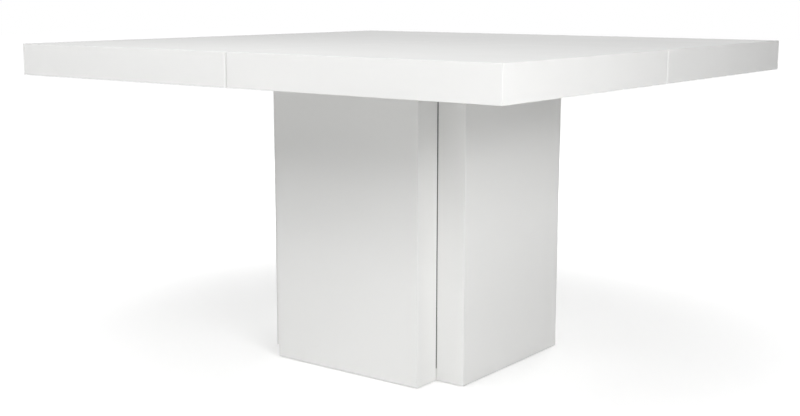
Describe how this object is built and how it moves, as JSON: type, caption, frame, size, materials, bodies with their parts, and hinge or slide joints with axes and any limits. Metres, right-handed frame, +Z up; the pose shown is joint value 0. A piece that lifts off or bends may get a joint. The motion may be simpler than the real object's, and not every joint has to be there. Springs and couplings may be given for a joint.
{
  "type": "square dining table",
  "caption": "Square dining table: thick gloss white top in quarter panels on a pedestal of upright panels with open notched corners.",
  "frame": {"origin": "on the floor under the middle of the table", "axes": "+Z up, -Y the front, X and Y along the sides of the top"},
  "size_m": [1.3, 1.3, 0.755],
  "materials": {
    "white_lacquer": "gloss",
    "white_board": "satin",
    "fibreboard": "matte",
    "softwood": "matte",
    "honeycomb_paper": "matte",
    "zinc_steel": "satin",
    "dark_steel": "satin",
    "beech": "matte",
    "glide_nylon": "matte"
  },
  "bodies": {
    "root": {"base_back_casing": "white_lacquer", "base_back_frame": "softwood", "base_back_honeycomb": "honeycomb_paper", "base_back_liner": "fibreboard", "base_front_casing": "white_lacquer", "base_front_frame": "softwood", "base_front_honeycomb": "honeycomb_paper", "base_front_liner": "fibreboard", "base_left_casing": "white_lacquer", "base_left_frame": "softwood", "base_left_honeycomb": "honeycomb_paper", "base_left_liner": "fibreboard", "base_right_casing": "white_lacquer", "base_right_frame": "softwood", "base_right_honeycomb": "honeycomb_paper", "base_right_liner": "fibreboard", "board_screws": "zinc_steel", "bottom_board": "white_board", "bottom_cleats": "softwood", "cleat_screws": "zinc_steel", "corner_angle_back_left": "dark_steel", "corner_angle_back_right": "dark_steel", "corner_angle_front_left": "dark_steel", "corner_angle_front_right": "dark_steel", "corner_angle_screws": "zinc_steel", "floor_glides": "glide_nylon", "glide_nails": "zinc_steel", "seam_dowels": "beech", "seam_plate_back": "zinc_steel", "seam_plate_front": "zinc_steel", "seam_plate_left": "zinc_steel", "seam_plate_right": "zinc_steel", "seam_plate_screws": "zinc_steel", "threaded_inserts": "zinc_steel", "top_back_left_casing": "white_lacquer", "top_back_left_fixing_block": "fibreboard", "top_back_left_frame": "softwood", "top_back_left_honeycomb": "honeycomb_paper", "top_back_left_underside": "white_board", "top_back_right_casing": "white_lacquer", "top_back_right_fixing_block": "fibreboard", "top_back_right_frame": "softwood", "top_back_right_honeycomb": "honeycomb_paper", "top_back_right_underside": "white_board", "top_board": "fibreboard", "top_bolt_washers": "zinc_steel", "top_bolts": "zinc_steel", "top_cleats": "softwood", "top_front_left_casing": "white_lacquer", "top_front_left_fixing_block": "fibreboard", "top_front_left_frame": "softwood", "top_front_left_honeycomb": "honeycomb_paper", "top_front_left_underside": "white_board", "top_front_right_casing": "white_lacquer", "top_front_right_fixing_block": "fibreboard", "top_front_right_frame": "softwood", "top_front_right_honeycomb": "honeycomb_paper", "top_front_right_underside": "white_board"}
  },
  "joints": []
}
